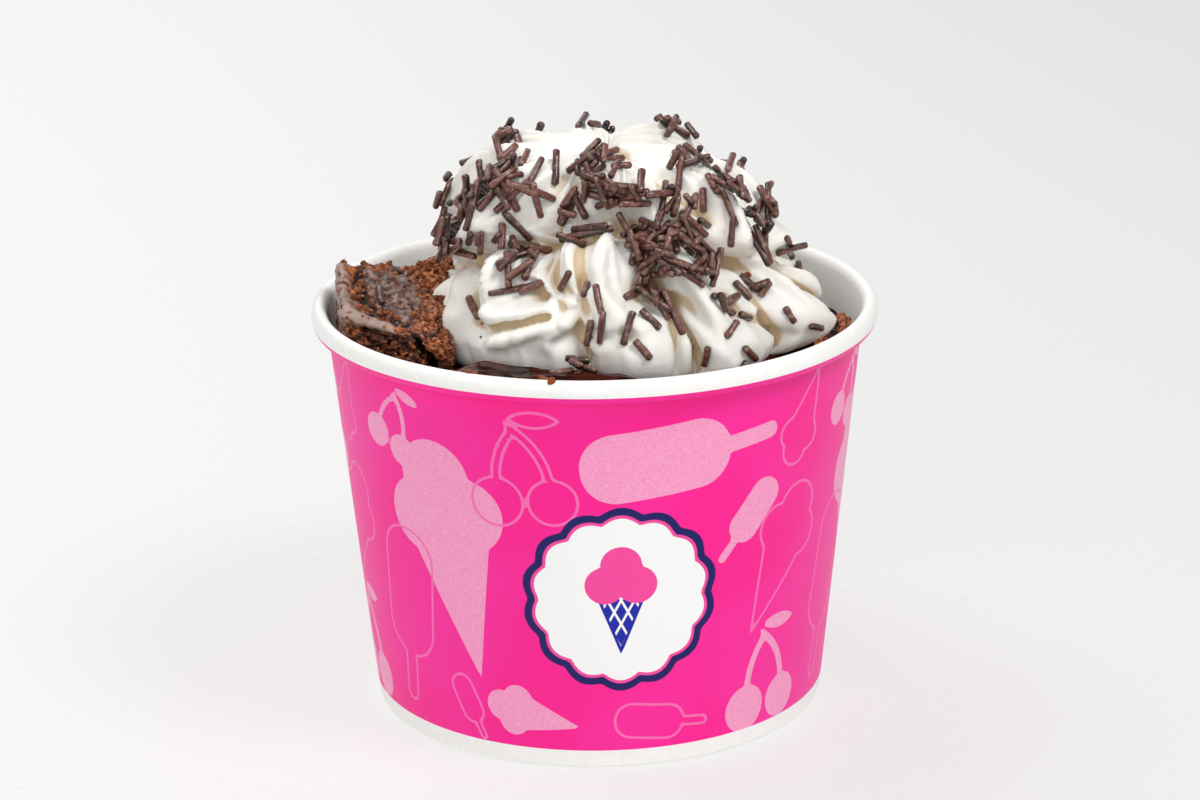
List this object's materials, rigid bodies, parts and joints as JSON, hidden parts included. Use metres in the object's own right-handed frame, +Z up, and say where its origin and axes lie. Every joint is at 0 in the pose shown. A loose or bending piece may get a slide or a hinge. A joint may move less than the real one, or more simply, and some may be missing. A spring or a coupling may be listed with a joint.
{
  "type": "brownie sundae",
  "caption": "Squat paper cup filled with hot fudge, brownie pieces pushed in at the sides, under a piped swirl of whipped cream with chocolate sprinkles.",
  "frame": {"origin": "middle of the cup's foot, on the surface that it stands on", "axes": "+Z up along the cup's axis; -Y is the front, +X is to the right seen from the front"},
  "size_m": [0.115, 0.115, 0.1167],
  "materials": {
    "cup_print": "satin coated paper with a pink print, white at the rim and foot",
    "cup_paper": "satin coated white paper",
    "fudge": "glossy hot fudge",
    "brownie": "moist crumb with a glossy crust",
    "cream": "soft satin whipped cream",
    "sprinkle": "knobbly satin chocolate sprinkles"
  },
  "bodies": {
    "root": {"cup_wall": "cup_print", "cup_base": "cup_paper", "hot_fudge": "fudge", "brownie_left": "brownie", "brownie_tucked": "brownie", "brownie_right": "brownie", "whipped_cream": "cream"}
  },
  "joints": []
}
